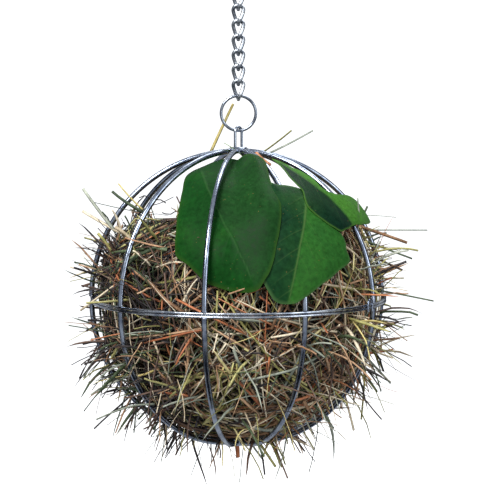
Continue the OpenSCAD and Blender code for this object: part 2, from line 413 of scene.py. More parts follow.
def makeGrass(name, tint):
    material, nodes, links, shader = newMaterial(name)
    own = attributeNode(nodes, "bladeTone")
    along = attributeNode(nodes, "bladeAlong")
    cloud = noiseNode(nodes, links, *grassGrain["cloud"])
    streak = noiseNode(nodes, links, *grassGrain["streak"])
    tones = (tint["dark"], tint["mid"], tint["pale"])
    base = rampNode(nodes, links, own, list(zip((0.0, 0.5, 1.0), tones)))
    cloudColour = rampNode(nodes, links, cloud, list(zip(grassGrain["cloudStops"], tones)))
    colour = mixNode(nodes, links, grassGrain["cloudShare"], base, cloudColour)
    tip = rangeNode(nodes, links, along, *grassGrain["tip"])
    colour = mixNode(nodes, links, tip, colour, tint["pale"])
    vein = rangeNode(nodes, links, streak, *grassGrain["vein"])
    shade = nodes.new("ShaderNodeHueSaturation")
    links.new(vein, shade.inputs["Value"])
    links.new(colour, shade.inputs["Color"])
    links.new(shade.outputs["Color"], shader.inputs["Base Color"])
    links.new(rangeNode(nodes, links, cloud, *grassGrain["roughness"]), shader.inputs["Roughness"])
    shader.inputs["Specular IOR Level"].default_value = grassGrain["specular"]
    bumpNode(nodes, links, streak, shader, *grassGrain["bump"])
    return material


grass = {name: makeGrass("grass_" + name, tint) for name, tint in grassTints.items()}
bladeForm = dict(
    steps=7, corners=4, reach=76.2 * mm, press=3.2, bluntTaper=0.25, swellPower=0.55,
    stemWidth=0.72, stemRound=0.85, thick=0.16,
)


def bladeMesh(name, lines, widths, thick, sides, tones, blunt):
    # lines is blades x stations x 3. Each blade is a closed flattened tube
    count, stations, _ = lines.shape
    tangents = unit(np.gradient(lines, axis=1))
    sides = sides[:, None, :]
    across = unit(sides - (sides * tangents).sum(-1, keepdims=True) * tangents)
    upward = np.cross(tangents, across)
    t = np.linspace(0, 1, stations)
    pointed = np.sin(np.clip(t * 0.93 + 0.07, 0, 1) * math.pi) ** bladeForm["swellPower"]
    swell = np.where(blunt[:, None], 1 - bladeForm["bluntTaper"] * t, pointed)
    half = widths[:, None] * swell
    deep = thick[:, None] * swell
    inner = slice(1, stations - 1)
    corner = np.arange(bladeForm["corners"]) / bladeForm["corners"] * 2 * math.pi
    ring = (
        lines[:, inner, None, :]
        + across[:, inner, None, :] * (half[:, inner, None] * np.cos(corner))[..., None]
        + upward[:, inner, None, :] * (deep[:, inner, None] * np.sin(corner))[..., None]
    )
    rings, k = stations - 2, bladeForm["corners"]
    first = np.where(blunt[:, None], lines[:, 1], lines[:, 0])
    last = np.where(blunt[:, None], lines[:, -2], lines[:, -1])
    points = np.concatenate([ring.reshape(count, -1, 3), first[:, None], last[:, None]], 1)
    each = rings * k + 2
    start = (np.arange(count) * each)[:, None, None]
    grid = np.arange(rings * k).reshape(rings, k)
    quad = np.stack(
        [grid[:-1], np.roll(grid[:-1], -1, 1), np.roll(grid[1:], -1, 1), grid[1:]], -1
    ).reshape(-1, 4)
    bottom = np.stack([np.roll(grid[0], -1), grid[0], np.full(k, rings * k)], -1)
    top = np.stack([grid[-1], np.roll(grid[-1], -1), np.full(k, rings * k + 1)], -1)
    tri = np.concatenate([bottom, top])
    along = np.concatenate([np.repeat(t[inner], k), [0, 1]])
    attributes = {
        "bladeTone": np.repeat(tones, each),
        "bladeAlong": np.tile(along, count),
    }
    faces = [(quad[None] + start).reshape(-1, 4), (tri[None] + start).reshape(-1, 3)]
    return meshObject(name, points.reshape(-1, 3), faces, attributes)


def curveLines(starts, headings, lengths, bends, wiggle):
    # Lines with an even bend and a little wander
    t = np.linspace(0, 1, bladeForm["steps"] + 1)
    reach = lengths[:, None] * t
    lines = starts[:, None, :] + headings[:, None, :] * reach[..., None]
    bow = ((t - 0.5) ** 2 * 4)[None, :, None]
    lines = lines + bends[:, None, :] * bow * lengths[:, None, None]
    wander = rng.normal(size=(len(starts), bladeForm["steps"] + 1, 3)) * wiggle[:, None, None]
    wander[:, 0] = 0
    return lines + wander


def tintOf(count, shares):
    names = list(shares)
    weights = np.array([shares[n] for n in names])
    return np.array(names)[rng.choice(len(names), count, p=weights / weights.sum())]


# Painted shade: the turn range of the darkened side, the share of its blades that darken, and their
# dark tints
paintedShadeSide = dict(azimuth=(-125, -28), share=0.6, tints=("ink", "umber", "deep", "ink"))


def paintShadeTints(lines, tints):
    # Painted shade: on one side of the filling, many blades get darker tints
    middle = lines.mean(1)
    azimuth = np.degrees(np.arctan2(middle[:, 0], -middle[:, 1]))
    low, high = paintedShadeSide["azimuth"]
    dark = (azimuth > low) & (azimuth < high)
    dark = dark & (rng.uniform(size=len(lines)) < paintedShadeSide["share"])
    return np.where(dark, rng.choice(paintedShadeSide["tints"], len(lines)), tints)


def keepIn(lines, reach):
    # Presses what would stand out of the ball back against the inside of its wires
    far = np.linalg.norm(lines, axis=-1, keepdims=True)
    limit = reach - rng.uniform(0, bladeForm["press"] * mm, (len(lines), 1, 1))
    return np.where(far > limit, lines * limit / far, lines)


# Height, slope and waves of the filling's loose top, then how the blades lie, in millimetres
hayForm = dict(
    height=34, slope=0.09, wave=5, waveTurns=(90, 60), topScatter=6, settle=0.12,
    hug=0.9, bow=0.24, bowScatter=0.05, blunt=0.5, leafAzimuth=(-34, 12), leafDepth=70.5,
)


def domeHeight(points):
    # The loose top is higher at the right
    x, y = points[..., 0], points[..., 1]
    across, along = hayForm["waveTurns"]
    wave = hayForm["wave"] * mm * np.sin(x * across + y * along)
    return (hayForm["height"] * mm + hayForm["slope"] * x) + wave


# Each layer has its count, depth range, lengths, half widths, share of round stems and wander
hayLayers = dict(
    # The deep layer is mostly ink and other dark tints: painted shade inside the ball
    deep=dict(
        count=2300, depth=(50, 69), length=(30, 66), width=(0.6, 1.5),
        stems=0.2, wander=0.4, spread=0.6,
        tints=dict(ink=0.44, umber=0.24, deep=0.20, brown=0.08, olive=0.04),
    ),
    mixed=dict(
        count=2000, depth=(63, 74.5), length=(34, 84), width=(0.35, 1.15),
        stems=0.4, wander=0.35, spread=0.6,
        tints=dict(
            ink=0.13, umber=0.14, brown=0.21, olive=0.17,
            sage=0.10, deep=0.07, beige=0.12, rust=0.06,
        ),
    ),
    top=dict(
        count=820, depth=(72, 76.4), length=(40, 96), width=(0.32, 1.05),
        stems=0.5, wander=0.25, spread=0.8,
        tints=dict(
            umber=0.05, brown=0.27, olive=0.14, sage=0.07,
            straw=0.09, beige=0.25, cream=0.06, rust=0.07,
        ),
    ),
    fine=dict(
        count=1100, depth=(66, 75.5), length=(12, 40), width=(0.14, 0.32),
        stems=1.0, wander=0.5, spread=1.2,
        tints=dict(
            umber=0.22, brown=0.22, olive=0.14, sage=0.12, beige=0.20, cream=0.06, rust=0.04,
        ),
    ),
)
tufts = dict(count=110, tilt=(1, 1, 0.75))


def bulkLines(layer):
    count = layer["count"]
    direction = unit(rng.normal(size=(count, 3)))
    radius = rng.uniform(*layer["depth"], count) * mm
    centre = direction * radius[:, None]
    # Blades lie in tufts, so that neighbours share a heading
    places = unit(rng.normal(size=(tufts["count"], 3)))
    headings = unit(rng.normal(size=(tufts["count"], 3)) * tufts["tilt"])
    nearest = np.argmax(direction @ places.T, 1)
    heading = headings[nearest] + rng.normal(size=(count, 3)) * layer["spread"]
    heading = heading - (heading * direction).sum(-1, keepdims=True) * direction * hayForm["hug"]
    heading = unit(heading)
    length = rng.uniform(*layer["length"], count) * mm
    start = centre - heading * length[:, None] / 2
    bend = -direction * rng.uniform(0.0, hayForm["bow"], count)[:, None]
    bend = bend + rng.normal(size=(count, 3)) * hayForm["bowScatter"]
    lines = curveLines(start, heading, length, bend, np.full(count, layer["wander"] * mm))
    # What would stand above the loose top is laid down on it
    scatter = hayForm["topScatter"]
    top = domeHeight(lines) + rng.uniform(-scatter, scatter, (count, 1)) * mm
    z = lines[..., 2]
    lines[..., 2] = np.where(z > top, top + (z - top) * hayForm["settle"], z)
    return keepIn(lines, bladeForm["reach"])


# Loose dark stems that stand above the hay at the upper left
wispForm = dict(
    count=46, azimuth=(-96, -24), elevation=(24, 50), depth=(58, 74), length=(14, 38),
    width=(0.3, 0.8), tilt=(1, 0.5, 0.9), bend=0.06, wander=0.25, stems=0.6,
)
wispTints = dict(ink=0.3, umber=0.25, deep=0.15, brown=0.15, olive=0.1, beige=0.05)


def makeWisps():
    count = wispForm["count"]
    azimuth = rng.uniform(*wispForm["azimuth"], count)
    elevation = rng.uniform(*wispForm["elevation"], count)
    centre = onBall(azimuth, elevation, 1.0) * rng.uniform(*wispForm["depth"], (count, 1)) * mm
    heading = unit(rng.normal(size=(count, 3)) * wispForm["tilt"])
    length = rng.uniform(*wispForm["length"], count) * mm
    start = centre - heading * length[:, None] / 2
    bend = rng.normal(size=(count, 3)) * wispForm["bend"]
    lines = curveLines(start, heading, length, bend, np.full(count, wispForm["wander"] * mm))
    stem = rng.uniform(size=count) < wispForm["stems"]
    widths, thick = widthsOf(stem, *wispForm["width"])
    lines = keepIn(lines, bladeForm["reach"])
    tints = tintOf(count, wispTints)
    layGrass("wisps", "lower_half", lines, widths, thick, tints, stem)


def behindLeaves(lines):
    # The leaves lie on the filling, so blades there stay deeper
    middle = lines.mean(1)
    azimuth = np.degrees(np.arctan2(middle[:, 0], -middle[:, 1]))
    elevation = np.degrees(np.arcsin(middle[:, 2] / np.linalg.norm(middle, axis=-1)))
    low, high = hayForm["leafAzimuth"]
    under = (azimuth > low) & (azimuth < high) & (elevation > 0)
    far = np.linalg.norm(lines, axis=-1, keepdims=True)
    limit = np.where(under[:, None, None], hayForm["leafDepth"] * mm, 1.0)
    return np.where(far > limit, lines * limit / far, lines)


def layGrass(prefix, body, lines, widths, thick, tints, blunt, replaced=()):
    sides = unit(rng.normal(size=(len(lines), 3)))
    tones = rng.uniform(0, 1, len(lines))
    for tint in grassTints:
        chosen = tints == tint
        if not chosen.any():
            continue
        piece = bladeMesh(
            f"{prefix}_{tint}", lines[chosen] + ballCentre, widths[chosen], thick[chosen],
            sides[chosen], tones[chosen], blunt[chosen],
        )
        paint(piece, grass[tint])
        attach(piece, body)
    if replaced:
        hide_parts(*replaced)


def widthsOf(stem, low, high):
    # Half widths and half thicknesses: stems are narrow and round, blades are flat
    widths = rng.uniform(low, high, len(stem)) * np.where(stem, bladeForm["stemWidth"], 1.0) * mm
    return widths, np.where(stem, widths * bladeForm["stemRound"], bladeForm["thick"] * mm)


def makeFilling():
    for name, layer in hayLayers.items():
        lines = behindLeaves(bulkLines(layer))
        stem = rng.uniform(size=len(lines)) < layer["stems"]
        widths, thick = widthsOf(stem, *layer["width"])
        blunt = stem | (rng.uniform(size=len(lines)) < hayForm["blunt"])
        tints = paintShadeTints(lines, tintOf(len(lines), layer["tints"]))
        layGrass("hay_" + name, "lower_half", lines, widths, thick, tints, blunt)


# Long blades that lie on the front of the hay: points from the ball's centre, width and tint
frontBlades = [
    ([(-4, -75, -16), (-14, -59, -47), (-15.4, -18, -73)], 1.1, "straw"),
    ([(-16.5, -74, -11), (-10.4, -68.4, -33), (-2, -48.6, -59)], 1.2, "beige"),
    ([(-7.4, -75, -15), (0, -75.7, -13), (8, -75.6, -10), (13.5, -75.4, -5)], 0.9, "straw"),
    ([(10.7, -74, -17), (18, -71, -22), (25, -65.5, -31)], 1.1, "cream"),
    ([(9.2, -75, -14), (10.8, -68.6, -33)], 1.6, "beige"),
    ([(-44.5, -46, -43), (-25.4, -58.6, -42.6), (-20, -54, -50.6)], 1.6, "rust"),
    ([(-2.3, -65, -40), (11, -51.7, -55.7), (9, -41, -64)], 2.8, "brown"),
    ([(26, -54, -48), (42, -47, -43.6)], 1.8, "rust"),
    ([(36, -66.7, -12), (42.4, -63.6, -7)], 1.3, "straw"),
    ([(38, -57, -34), (60, -24, -41)], 2.0, "brown"),
    ([(-36.6, -66, -15), (-25.6, -72, -9.5)], 1.3, "rust"),
    ([(9.2, -75.6, 10), (17.3, -74.7, 4)], 1.4, "rust"),
]
frontForm = dict(reach=76.4 * mm, thick=0.22 * mm)


def alongPoints(points):
    # Even stations on a line through a few points
    points = np.array(points, float) * mm
    gaps = np.linalg.norm(np.diff(points, axis=0), axis=1)
    place = np.concatenate([[0], np.cumsum(gaps)])
    t = np.linspace(0, place[-1], bladeForm["steps"] + 1)
    return np.stack([np.interp(t, place, points[:, k]) for k in range(3)], -1)


def makeFrontBlades():
    lines = np.array([alongPoints(points) for points, _, _ in frontBlades])
    lines = keepIn(lines, frontForm["reach"])
    widths = np.array([width for _, width, _ in frontBlades]) * mm / 2
    tints = np.array([tint for _, _, tint in frontBlades])
    thick, blunt = np.full(len(lines), frontForm["thick"]), np.ones(len(lines), bool)
    layGrass("front_hay", "lower_half", lines, widths, thick, tints, blunt)


makeFilling()
makeWisps()
makeFrontBlades()
print("hay filled")

# The imported heart closes the gaps deep in the hay; its dark brown to nearly black colour is
# partly the hay's brown and mostly painted shade
heartForm = dict(
    radius=54 * mm, lump=5 * mm, detail=5, seed=77, lumpScale=0.7, octaves=4, drop=9 * mm,
    flatten=0.1, fibre=(520, 6, 0.75, (1, 0.35, 0.6)), roughness=0.9, bump=(0.8, 0.0012),
    stops=[
        (0.34, (0.006, 0.005, 0.004)), (0.52, (0.030, 0.020, 0.012)), (0.68, (0.10, 0.07, 0.03)),
    ],
)


def makeHeart():
    shell = bmesh.new()
    bmesh.ops.create_icosphere(shell, subdivisions=heartForm["detail"], radius=1)
    base = np.array([v.co for v in shell.verts])
    faces = np.array([[v.index for v in f.verts] for f in shell.faces])
    shell.free()
    rough = waves(base, heartForm["seed"], heartForm["lumpScale"], heartForm["octaves"])
    points = base * (heartForm["radius"] + heartForm["lump"] * rough)[:, None]
    top = domeHeight(points) - heartForm["drop"]
    z = points[:, 2]
    points[:, 2] = np.where(z > top, top + (z - top) * heartForm["flatten"], z)
    made = meshObject("hay_heart", points + ballCentre, [faces])
    material, nodes, links, shader = newMaterial("packedHayShade")
    fibre = noiseNode(nodes, links, *heartForm["fibre"])
    # Painted shade: the heart's colour runs from nearly black to dark brown
    colour = rampNode(nodes, links, fibre, heartForm["stops"])
    links.new(colour, shader.inputs["Base Color"])
    shader.inputs["Roughness"].default_value = heartForm["roughness"]
    bumpNode(nodes, links, fibre, shader, *heartForm["bump"])
    paint(made, material)
    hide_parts("hay_fill")
    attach(made, "lower_half")


makeHeart()
print("heart packed")

# Stalks that poke out between the ribs stay clear of the wires
strayForm = dict(
    ribGap=2.0 * mm, rimGap=2.6 * mm, wireBand=2.6 * mm, rimFrom=75.6 * mm, boxRoom=4 * mm,
    stations=44, clumpSides=(-78, 88), clumpSpread=32, clumpShare=0.7, clumpScatter=(11, 9),
    bend=0.04, droop=0.12, wander=0.15, hingeRoom=13, hingeHeight=46, leafAzimuth=13,
    leafRoom=42, stems=0.45, blunt=0.25, stalkThick=0.24 * mm, stalkSag=0.7,
)
# Loose grass between the ribs: long blades in clumps, and a short fringe
strayKinds = dict(
    upper_stray=dict(
        side=1, tries=9000, wanted=110, clumps=16, height=18, highest=30,
        length=(16, 40), root=(58, 70), tilt=0.5, spread=0.38, outward=0.8,
        width=(0.35, 1.0), tips=79,
    ),
    lower_stray=dict(
        side=-1, tries=14000, wanted=290, clumps=30, height=40, highest=88,
        length=(18, 44), root=(58, 70), tilt=0.6, spread=0.45, outward=0.8,
        width=(0.35, 1.05), tips=79,
    ),
    upper_fringe=dict(
        side=1, tries=9000, wanted=190, clumps=0, height=15, highest=26,
        length=(14, 34), root=(66, 75), tilt=0.0, spread=1.0, outward=0.3,
        width=(0.25, 0.85), tips=75.5,
    ),
    lower_fringe=dict(
        side=-1, tries=20000, wanted=520, clumps=0, height=46, highest=89,
        length=(14, 42), root=(66, 75), tilt=0.0, spread=1.0, outward=0.3,
        width=(0.25, 0.9), tips=75.5,
    ),
)
strayTints = dict(
    ink=0.13, umber=0.15, brown=0.17, olive=0.18, sage=0.12,
    deep=0.10, beige=0.09, rust=0.03, straw=0.03,
)
# Single stalks, each from its foot to its tip round the ball's centre, then its width and tint
upperStalks = [
    (-60, -21, 32, -84, -21, 64, 2, "sage"), (-41, -21, 45, -83, -21, 54, 2, "deep"),
    (-53, -21, 32, -85, -21, 50, 2.3, "beige"), (-50, -24, 27, -66, -24, 40, 2.3, "beige"),
    (-44, -21, 44, -68, -21, 60, 1.8, "deep"), (-44, -18, 43, -65, -18, 65, 1, "straw"),
    (-59, -24, 16, -84, -24, 32, 1.4, "umber"), (-59, -24, 11, -92, -24, 20, 1, "beige"),
    (-58, -24, 17, -92, -24, 10, 0.9, "olive"), (-58, -24, 12, -87, -24, 21, 0.9, "brown"),
    (-46, -45, 5, -82, -45, 2, 1.5, "olive"), (-55, -36, 16, -85, -36, -6, 1.4, "beige"),
    (49, 0, 43, 91, 0, 42, 1, "sage"), (50, 0, 43, 97, 0, 27, 2, "brown"),
    (55, 0, 36, 110, 0, 36, 1, "sage"), (53, 0, 37, 101, 0, 18, 1.8, "deep"),
    (59, 0, 29, 94, 0, 12, 2.4, "umber"), (65, -6, 6, 111, -6, -3, 1.4, "deep"),
    (63, 0, 9, 94, 0, 10, 1, "olive"), (4, -2, 72, 32.2, -3, 92.8, 1.7, "olive"),
    (9, -4, 74, 44.4, -4, 92.2, 1.6, "sage"), (-18, 5, 71, -0.2, 4, 109.0, 1.9, "straw"),
    (4, -6, 74, -10, -6, 84, 2.6, "green"), (8, -14, 79.3, 19, -14, 70, 2.2, "rust"),
]
lowerStalks = [
    (-55, -24, -35, -85, -24, -8, 1.2, "brown"), (-58, -24, -16, -81, -24, -9, 1.6, "umber"),
    (61, 0, -24, 91, 0, -22, 1.4, "brown"), (56, 0, -32, 88, 0, -28, 2.8, "rust"),
    (60, 0, -23, 86, 0, -51, 1.4, "sage"), (58, 0, -28, 78, 0, -56, 1.6, "deep"),
    (68, 0, -11, 70, 0, -56, 1.2, "umber"), (43, 0, -49, 70, 0, -50, 1.8, "brown"),
    (-2, 9, -64, 0, 9, -95, 3, "rust"), (2, -12, -64, 23, -12, -95, 2, "olive"),
    (22, 0, -61, 32, 0, -88, 2, "sage"), (29, 0, -57, 41, 0, -76, 1.4, "brown"),
    (44, 0, -48, 46, 0, -67, 1.4, "olive"), (52, 0, -38, 64, 0, -79, 2.3, "beige"),
    (69, 0, -26, 66, 0, -74, 1.2, "olive"), (-25, 3, -60, -24, 3, -80, 1.8, "rust"),
    (-16, 3, -62, -16, 3, -83, 1.5, "straw"), (-22, 0, -62, -36, 0, -86, 1.2, "sage"),
    (-20, 0, -62, -48, 0, -76, 1.5, "olive"),
]


def strayLines(kind):
    side, count = kind["side"], kind["tries"]
    azimuth = rng.uniform(-180, 180, count)
    elevation = side * np.abs(rng.normal(size=count)) * kind["height"]
    lean = np.zeros((count, 3))
    if kind["clumps"]:
        # Clumps gather at the left and right of the ball
        n = kind["clumps"]
        sideways = rng.choice(strayForm["clumpSides"], n)
        sideways = sideways + rng.normal(size=n) * strayForm["clumpSpread"]
        beside = rng.uniform(size=n) < strayForm["clumpShare"]
        places = np.where(beside, sideways, rng.uniform(-180, 180, n))
        heights = side * np.abs(rng.normal(size=n)) * kind["height"]
        leans = rng.normal(size=(n, 3)) * kind["tilt"]
        pick = rng.integers(n, size=count)
        turn, rise = strayForm["clumpScatter"]
        azimuth = places[pick] + rng.normal(size=count) * turn
        elevation = heights[pick] + rng.normal(size=count) * rise
        lean = leans[pick]
    outward = onBall(azimuth, elevation, 1.0)
    start = outward * rng.uniform(*kind["root"], (count, 1)) * mm
    scatter = rng.normal(size=(count, 3)) * kind["spread"]
    heading = unit(outward * kind["outward"] + lean + scatter)
    length = rng.uniform(*kind["length"], count) * mm
    bend = rng.normal(size=(count, 3)) * strayForm["bend"]
    bend[:, 2] -= rng.uniform(0, strayForm["droop"], count)
    lines = curveLines(start, heading, length, bend, np.full(count, strayForm["wander"] * mm))
    # Only blades that keep clear of the wires, the box, the hinge and the leaves are kept
    fine = np.linspace(0, bladeForm["steps"], strayForm["stations"])
    whole = np.clip(fine.astype(int), 0, bladeForm["steps"] - 1)
    part = (fine - whole)[None, :, None]
    dense = lines[:, whole] * (1 - part) + lines[:, whole + 1] * part
    far = np.linalg.norm(dense, axis=-1)
    near = np.abs(far - ballWire["radius"]) < strayForm["wireBand"]
    around = np.degrees(np.arctan2(dense[..., 0], -dense[..., 1]))
    step = ballWire["ribStep"]
    offset = (around - ballWire["firstRib"] + step / 2) % step - step / 2
    gap = np.abs(np.radians(offset)) * np.hypot(dense[..., 0], dense[..., 1])
    low = np.array(cadBox[0]) - ballCentre - strayForm["boxRoom"]
    high = np.array(cadBox[1]) - ballCentre + strayForm["boxRoom"]
    fits = (far[:, -1] > kind["tips"] * mm) & (far.max(1) == far[:, -1])
    fits &= (lines > low).all((1, 2)) & (lines < high).all((1, 2))
    fits &= np.where(near, gap, 1).min(1) > strayForm["ribGap"]
    beyond = far > strayForm["rimFrom"]
    fits &= np.where(beyond, dense[..., 2] * side, 1).min(1) > strayForm["rimGap"]
    fits &= side * elevation < kind["highest"]
    # The hinge needs room at the back left, and the leaves at the upper front
    turned = np.abs((around - ballWire["hinge"] + 180) % 360 - 180).min(1)
    fits &= (turned > strayForm["hingeRoom"]) | (np.abs(elevation) > strayForm["hingeHeight"])
    if side > 0:
        fits &= np.abs(around - strayForm["leafAzimuth"]).min(1) > strayForm["leafRoom"]
    return lines[fits][: kind["wanted"]]


def stalkLines(stalks):
    ends = np.array([stalk[:6] for stalk in stalks], float) * mm
    t = np.linspace(0, 1, bladeForm["steps"] + 1)[None, :, None]
    lines = ends[:, None, :3] * (1 - t) + ends[:, None, 3:] * t
    sag = rng.normal(size=(len(ends), 1, 3)) * strayForm["stalkSag"] * mm
    return lines + sag * (4 * t * (1 - t))


def makeStrays(body, stray, fringe, stalks, replaced):
    for name in (stray, fringe):
        kind = strayKinds[name]
        lines = strayLines(kind)
        stem = rng.uniform(size=len(lines)) < strayForm["stems"]
        widths, thick = widthsOf(stem, *kind["width"])
        tints = paintShadeTints(lines, tintOf(len(lines), strayTints))
        blunt = stem | (rng.uniform(size=len(lines)) < strayForm["blunt"])
        standsFor = replaced if name == stray else ()
        layGrass(name, body, lines, widths, thick, tints, blunt, standsFor)
        print(name, len(lines))
    lines = stalkLines(stalks)
    widths = np.array([stalk[6] for stalk in stalks]) * mm / 2
    tints = np.array([stalk[7] for stalk in stalks])
    thick, blunt = np.full(len(lines), strayForm["stalkThick"]), np.ones(len(lines), bool)
    layGrass(stray + "_long", body, lines, widths, thick, tints, blunt)


makeStrays("upper_half", "upper_stray", "upper_fringe", upperStalks, ("stray_stalks_upper",))
makeStrays("lower_half", "lower_stray", "lower_fringe", lowerStalks, ("stray_stalks_lower",))
print("stray stalks drawn")

# Outlines are in mm across and up the leaf, laid flat from its middle on the ball
# radius gives the leaf's distance from the ball's centre at two places of turn or height
leafShapes = dict(
    front_leaf=dict(
        azimuth=-5, elevation=40, middle=(-2, 6), tone="deepLeaf",
        radius=dict(near=75.9, far=82.0, by="azimuth", low=-4, high=18),
        outline=[
            (-20.3, 45.5), (-16, 51), (-11.5, 56), (-7, 57.6), (-2.5, 56), (2, 51.5), (7, 46),
            (12.2, 41.6), (15.6, 36), (17.6, 26.8), (19.6, 17.9), (22.1, 11.4), (24, 5.5),
            (24.8, -2.7), (24.4, -9.7),
            (23.7, -16.2), (22.9, -23.8), (21.3, -30.6), (19.3, -34.6), (16.3, -39.5), (11, -41.5),
            (3.3, -41.1), (-5.3, -38.8), (-9.6, -36.9), (-15.4, -31.4),
            (-19.9, -26.7), (-26.2, -21.5),
            (-26.9, -15.3), (-26.4, -5.8), (-26.3, 6.7), (-26.7, 19.9), (-26.5, 33.4), (-24, 40.5),
        ],
        midrib=[
            (-17.8, 37.1), (-11.7, 16.8), (-5.5, 2.2), (-1.4, -7.2), (3.1, -14.9),
            (6.8, -22.9), (10.5, -29.8), (12.8, -35),
        ],
        veins=8, veinAngle=44, cup=0.5, wave=1.4, replaces="leaf_1", seed=5,
    ),
    side_leaf=dict(
        azimuth=34, elevation=25, middle=(-8, 4), tone="shadeLeaf",
        radius=dict(near=78.6, far=81.5, by="azimuth", low=10, high=23),
        outline=[
            (-13.5, 35.4), (-10.7, 33.3), (-6.4, 32.4), (-2.3, 30.9), (1.5, 28.6),
            (3.4, 22.7), (5.6, 15.2),
            (9, 9.1), (13.4, 4), (15, -0.5), (14.3, -3.8), (15.2, -7.6), (14.4, -10), (8.9, -12.7),
            (2.9, -16.1), (-5, -19.9), (-10.7, -23.2), (-15.3, -25.3), (-19.7, -27), (-25.1, -26.4),
            (-28.7, -23.6), (-31.8, -16.5), (-33.3, -10.1), (-29.8, 0.3),
            (-23.8, 13.8), (-18.9, 25.1),
        ],
        midrib=[
            (2.1, 28.1), (-2.2, 18.6), (-7.6, 8.1), (-12.8, -1.3), (-16.9, -10.9), (-19.9, -19),
            (-22, -25.8),
        ],
        veins=6, veinAngle=46, cup=0.2, wave=0.45, replaces="leaf_2", seed=9,
    ),
    folded_leaf=dict(
        azimuth=62, elevation=50, middle=(-15, -10), tone="limeLeaf",
        radius=dict(near=82.6, far=81.4, by="elevation", low=44, high=58),
        outline=[
            (-11.1, 27.4), (-11.4, 21.8), (-11.1, 17), (-9, 12.2), (-8.5, 6.4),
            (-10.1, -1), (-7.6, -6),
            (-0.5, -8.6), (12, -9.8), (22, -13), (26, -17.8), (26, -22), (14.3, -25.2), (2, -26),
            (-5.5, -25.6), (-13, -26.2), (-20, -26.4), (-24.6, -22.4), (-28, -16.5), (-30, -11),
            (-28.3, -5.4), (-25, -1), (-23.6, 4), (-22.4, 8), (-19.6, 12.6), (-15.5, 19.3),
        ],
        midrib=[
            (-12.5, 24.5), (-14.7, 13.5), (-15, 4.4), (-14.4, -3.4), (-12.1, -9.2),
            (-10.8, -14.6), (-9, -21.2), (-7.7, -26),
        ],
        veins=5, veinAngle=38, cup=-0.9, wave=0.3, replaces="leaf_3", seed=13,
    ),
)
leafForm = dict(
    around=264, rings=60, ringEase=1.25, thick=0.34 * mm, ball=75, veinRise=0.16 * mm,
    sideVeinRise=0.09 * mm, underVein=0.6, ripple=0.06, rippleTurns=(7, 11, 17, 26),
    waveTurns=(0.16, 0.13), waveShift=1.7, troughWidth=7.0, foldDepth=0.8, cupDepth=0.35,
    rimDrop=0.9, rimPower=7, sideVeinShare=0.6, halfBlend=3,
)
veinForm = dict(
    width=0.55, root=1.5, taper=0.8, firstRoot=0.6, stagger=0.18, steps=9, step=4.2,
    straighten=0.93, sideRoot=0.85, sideTaper=0.5, sideFade=0.6,
)


def closedSpline(points, count):
    points = np.array(points, float)
    n = len(points)
    gaps = np.linalg.norm(np.roll(points, -1, 0) - points, axis=1)
    place = np.concatenate([[0], np.cumsum(gaps)])
    t = np.arange(count) / count * place[-1]
    i = np.clip(np.searchsorted(place, t, side="right") - 1, 0, n - 1)
    u = ((t - place[i]) / gaps[i])[:, None]
    a, b, c, d = points[i - 1], points[i], points[(i + 1) % n], points[(i + 2) % n]
    square, cube = 2 * a - 5 * b + 4 * c - d, 3 * b - a - 3 * c + d
    return 0.5 * (2 * b + (c - a) * u + square * u**2 + cube * u**3)


def lineDistance(points, line):
    # Distance from each point to a line of points, the share of its length there, and the side
    best = np.full(len(points), 1e9)
    share, side = np.zeros(len(points)), np.zeros(len(points))
    line = np.array(line, float)
    steps = np.linalg.norm(np.diff(line, axis=0), axis=1)
    begin = np.concatenate([[0], np.cumsum(steps)])
    for i, step in enumerate(steps):
        a, d = line[i], (line[i + 1] - line[i]) / step
        t = np.clip((points - a) @ d, 0, step)
        gap = points - a - t[:, None] * d
        distance = np.linalg.norm(gap, axis=1)
        closer = distance < best
        best = np.where(closer, distance, best)
        share = np.where(closer, (begin[i] + t) / begin[-1], share)
        side = np.where(closer, np.sign(gap[:, 0] * d[1] - gap[:, 1] * d[0]), side)
    return best, share, side


def veinField(points, shape):
    midrib = np.array(shape["midrib"], float)
    distance, share, side = lineDistance(points, midrib)
    width = veinForm["width"] * (veinForm["root"] - veinForm["taper"] * share)
    main = np.exp(-((distance / width) ** 2))
    steps = np.linalg.norm(np.diff(midrib, axis=0), axis=1)
    begin = np.concatenate([[0], np.cumsum(steps)])
    small = np.zeros(len(points))
    for k in range(shape["veins"]):
        for turn in (-1, 1):
            at = k + veinForm["firstRoot"] + veinForm["stagger"] * turn
            at = at / shape["veins"] * begin[-1]
            i = min(np.searchsorted(begin, at, side="right") - 1, len(steps) - 1)
            d = (midrib[i + 1] - midrib[i]) / steps[i]
            root = midrib[i] + d * (at - begin[i])
            angle = math.radians(shape["veinAngle"]) * turn
            line = [root]
            for _ in range(veinForm["steps"]):
                c, s = math.cos(angle), math.sin(angle)
                heading = np.array([d[0] * c - d[1] * s, d[0] * s + d[1] * c])
                line.append(line[-1] + heading * veinForm["step"])
                angle *= veinForm["straighten"]
            gap, along, _ = lineDistance(points, line)
            thin = veinForm["width"] * (veinForm["sideRoot"] - veinForm["sideTaper"] * along)
            fade = 1 - veinForm["sideFade"] * along
            small = np.maximum(small, np.exp(-((gap / thin) ** 2)) * fade)
    return main, small, distance, side


def leafRadius(ray, radius):
    # Runs smoothly from one distance to the other, so a leaf can pass from inside the wires out
    if radius["by"] == "azimuth":
        at = np.degrees(np.arctan2(ray[:, 0], -ray[:, 1]))
    else:
        at = np.degrees(np.arcsin(np.clip(ray[:, 2], -1, 1)))
    t = np.clip((at - radius["low"]) / (radius["high"] - radius["low"]), 0, 1)
    return radius["near"] + (radius["far"] - radius["near"]) * t * t * (3 - 2 * t)


